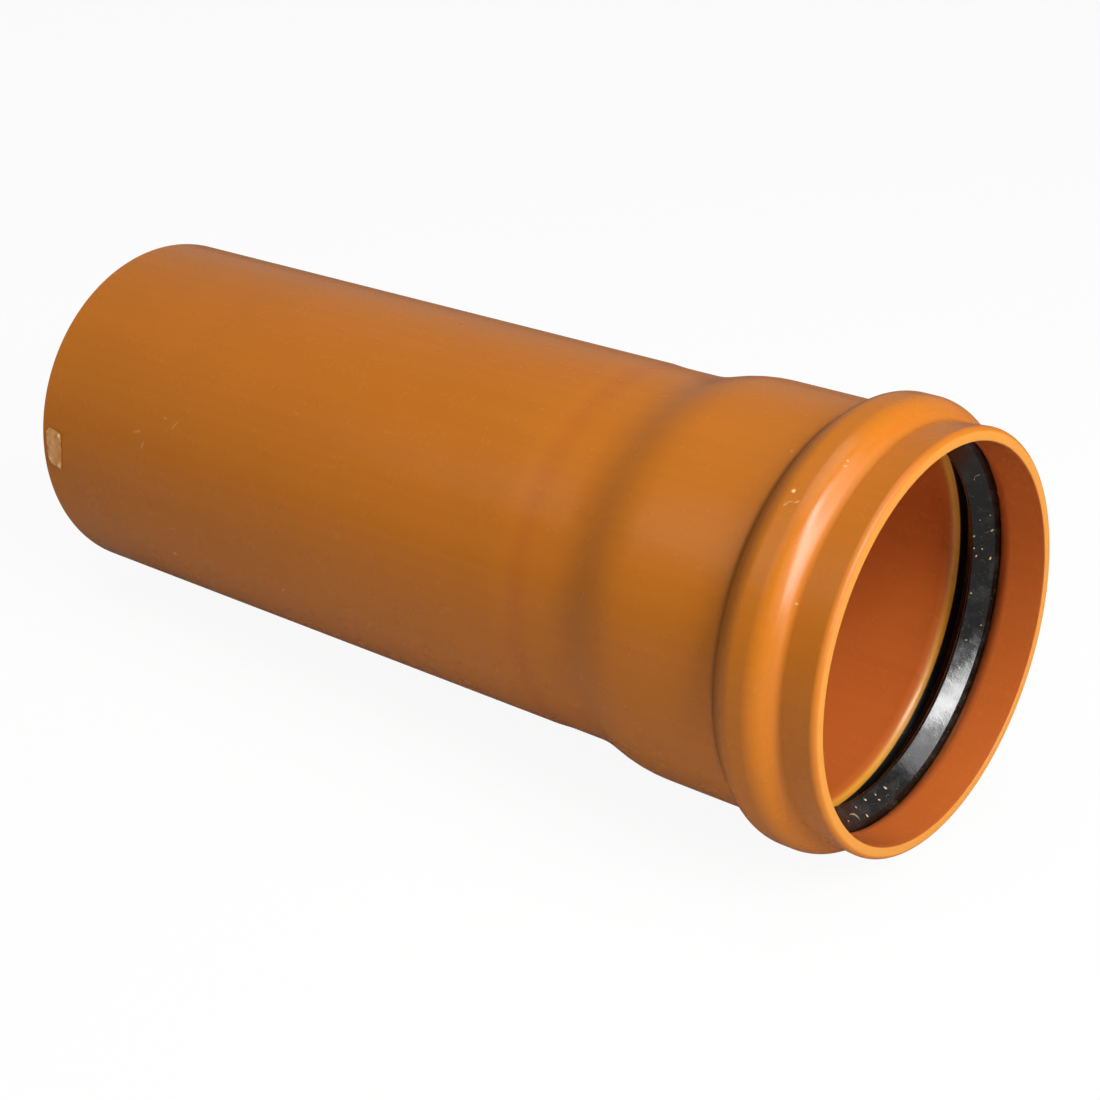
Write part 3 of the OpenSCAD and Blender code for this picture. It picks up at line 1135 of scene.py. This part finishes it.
def softbox(name, place, distance, width, height, power):
    """An area lamp that looks at the middle of the pipe."""
    direction = aim(*place)
    target = Vector((0, 0, MOUTH.z))
    turn = direction.to_track_quat("Z", "Y").to_euler()
    bpy.ops.object.light_add(type="AREA", location=target + direction * distance, rotation=turn)
    lamp = named(name)
    lamp.data.shape = "RECTANGLE"
    lamp.data.size = width
    lamp.data.size_y = height
    lamp.data.energy = power


def light_world(studio):
    """Surroundings that are white where they are seen or mirrored, and give no light of their own."""
    world = bpy.data.worlds.new("studio")
    bpy.context.scene.world = world
    world.use_nodes = True
    tree = world.node_tree
    tree.nodes.clear()
    strength = seen_rays(tree, studio.mirrored_white)
    white = add(tree, "Background", {"Color": (1, 1, 1, 1), "Strength": strength})
    add(tree, "OutputWorld", {"Surface": white.outputs[0]})


class DRAIN_PIPE_OT_stage(bpy.types.Operator):
    """Set the pale floor, the soft lamps, the surroundings and the camera"""

    bl_idname = "drain_pipe.stage"
    bl_label = "Studio"

    def execute(self, context):
        studio = context.scene.pipe_studio
        begin()
        bpy.ops.mesh.primitive_circle_add(vertices=FLOOR_CORNERS, radius=studio.floor_radius,
                                          fill_type="NGON")
        floor = named("studio_floor")
        floor.data.materials.append(floor_material(context.scene.pipe_finishes, studio))
        fill = (studio.fill_distance, studio.fill_side, studio.fill_side)
        top = (studio.top_distance, studio.top_side, studio.top_side)
        softbox("key", KEY_PLACE, studio.key_distance, studio.key_width, studio.key_height,
                studio.key_power)
        softbox("mouth_fill", MOUTH_PLACE, *fill, studio.mouth_power)
        softbox("front_fill", FRONT_PLACE, *fill, studio.front_power)
        softbox("left_fill", LEFT_PLACE, *fill, studio.left_power)
        softbox("overhead", TOP_PLACE, *top, studio.top_power)
        light_world(studio)
        bpy.ops.object.camera_add(location=studio.camera_place,
                                  rotation=(studio.camera_pitch, 0, studio.camera_yaw))
        camera = named("photo_camera")
        camera.data.lens = studio.lens
        camera.data.sensor_width = studio.sensor_width
        context.scene.camera = camera
        context.scene.view_settings.view_transform = "Standard"
        return {"FINISHED"}


class DRAIN_PIPE_PT_sidebar(bpy.types.Panel):
    """Pieces of the drain pipe, in the order they are made"""

    bl_idname = "DRAIN_PIPE_PT_sidebar"
    bl_label = "Drain Pipe"
    bl_space_type = "VIEW_3D"
    bl_region_type = "UI"
    bl_category = "Drain Pipe"

    def draw(self, context):
        for operator in OPERATORS:
            self.layout.operator(operator.bl_idname)


OPERATORS = (
    DRAIN_PIPE_OT_wall,
    DRAIN_PIPE_OT_seal,
    DRAIN_PIPE_OT_film,
    DRAIN_PIPE_OT_shavings,
    DRAIN_PIPE_OT_stage,
)
SETTINGS = {
    "pipe_sizes": PipeSizes,
    "seal_sizes": SealSizes,
    "scrap_sizes": ScrapSizes,
    "pipe_finishes": Finishes,
    "pipe_studio": StudioSettings,
}
CLASSES = (*SETTINGS.values(), *OPERATORS, DRAIN_PIPE_PT_sidebar)


def register():
    """Registers the classes and puts their settings on the scene."""
    for cls in CLASSES:
        bpy.utils.register_class(cls)
    for name, group in SETTINGS.items():
        setattr(bpy.types.Scene, name, PointerProperty(type=group))


def unregister():
    """Takes the settings off the scene and unregisters the classes."""
    for name in SETTINGS:
        delattr(bpy.types.Scene, name)
    for cls in reversed(CLASSES):
        bpy.utils.unregister_class(cls)


def main():
    """Makes every piece and the stage."""
    register()
    bpy.ops.drain_pipe.wall()
    bpy.ops.drain_pipe.seal()
    bpy.ops.drain_pipe.film()
    bpy.ops.drain_pipe.shavings()
    bpy.ops.drain_pipe.stage()


if __name__ == "__main__":
    main()
